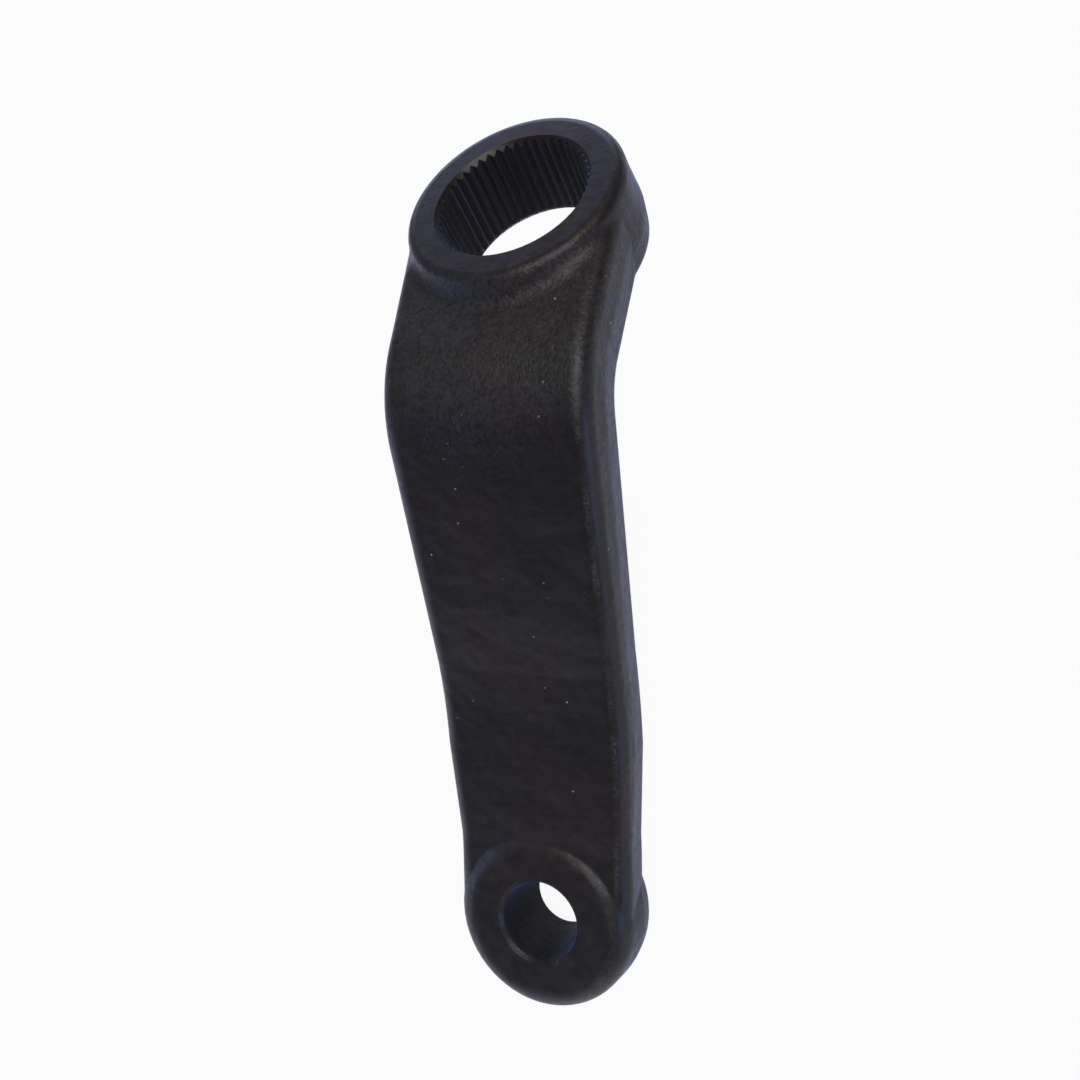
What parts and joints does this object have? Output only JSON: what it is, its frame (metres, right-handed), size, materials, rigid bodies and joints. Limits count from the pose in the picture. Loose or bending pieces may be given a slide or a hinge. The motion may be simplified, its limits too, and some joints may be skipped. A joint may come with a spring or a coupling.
{
  "type": "pitman arm",
  "caption": "Forged steel pitman arm bent between its eyes: a serrated bore for the steering shaft at one end, a tapered stud hole in a raised boss at the other.",
  "frame": {"origin": "middle of the serrated bore, on its axis, half way through the shaft eye", "axes": "+Z along the serrated bore towards the machined front face of the shaft eye, -Y towards the stud eye, X across the arm"},
  "size_m": [0.0578, 0.1911, 0.1422],
  "materials": {
    "black_painted_steel": "satin"
  },
  "bodies": {
    "root": {"pitman_arm": "black_painted_steel"}
  },
  "joints": []
}
